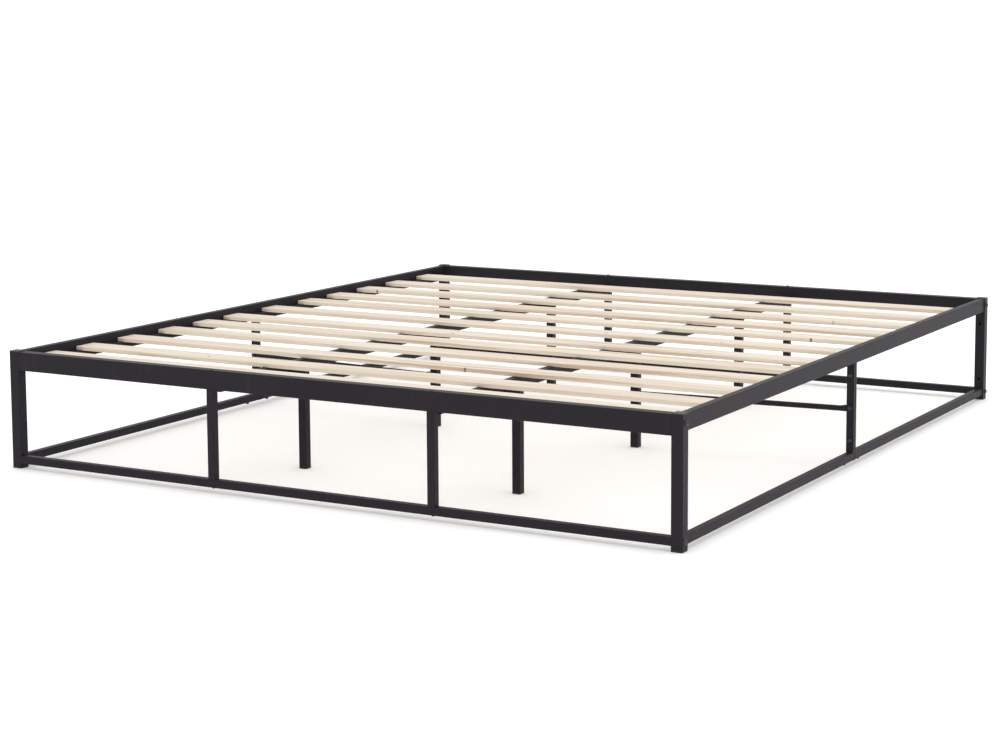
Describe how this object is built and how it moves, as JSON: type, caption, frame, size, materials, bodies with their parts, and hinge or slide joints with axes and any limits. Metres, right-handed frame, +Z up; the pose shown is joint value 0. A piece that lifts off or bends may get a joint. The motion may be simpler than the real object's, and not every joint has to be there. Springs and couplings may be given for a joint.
{
  "type": "metal bed frame",
  "caption": "Low steel bed frame with end and side frames, centre bars on inner legs, round side braces and a loose pine slat deck.",
  "frame": {"origin": "on the floor, below the middle of the frame", "axes": "+Z up, +Y towards the head end, +X to the right-hand side for someone looking towards the head end"},
  "size_m": [1.8688, 2.108, 0.3],
  "materials": {
    "frame": "satin powder coat, near black",
    "pine": "planed, unfinished softwood",
    "plastic": "moulded, fine matt",
    "fastener": "black coated"
  },
  "bodies": {
    "root": {"leg_foot_left": "frame", "leg_foot_right": "frame", "leg_head_left": "frame", "leg_head_right": "frame", "leg_top_caps": "plastic", "floor_glides": "plastic", "foot_rail": "frame", "head_rail": "frame", "foot_stretcher": "frame", "head_stretcher": "frame", "foot_post_left": "frame", "foot_post_right": "frame", "head_post_left": "frame", "head_post_right": "frame", "side_rail_left_foot": "frame", "side_rail_left_head": "frame", "side_rail_right_foot": "frame", "side_rail_right_head": "frame", "side_stretcher_left_foot": "frame", "side_stretcher_left_head": "frame", "side_stretcher_right_foot": "frame", "side_stretcher_right_head": "frame", "side_post_left_foot": "frame", "side_post_left_head": "frame", "side_post_right_foot": "frame", "side_post_right_head": "frame", "slat_ledges": "frame", "center_bar_left_foot": "frame", "center_bar_left_head": "frame", "center_bar_right_foot": "frame", "center_bar_right_head": "frame", "brace_left": "frame", "brace_right": "frame", "center_leg_left_foot": "frame", "center_leg_left_middle": "frame", "center_leg_left_head": "frame", "center_leg_right_foot": "frame", "center_leg_right_middle": "frame", "center_leg_right_head": "frame", "leg_brackets": "frame", "bar_hangers": "frame", "joint_sleeves": "frame", "end_plates": "frame", "corner_bolts": "fastener", "post_bolts": "fastener", "joint_bolts": "fastener", "center_leg_bolts": "fastener", "hex_nuts": "fastener", "slat_01": "pine", "slat_02": "pine", "slat_03": "pine", "slat_04": "pine", "slat_05": "pine", "slat_06": "pine", "slat_07": "pine", "slat_08": "pine", "slat_09": "pine", "slat_10": "pine", "slat_11": "pine", "slat_12": "pine"}
  },
  "joints": []
}
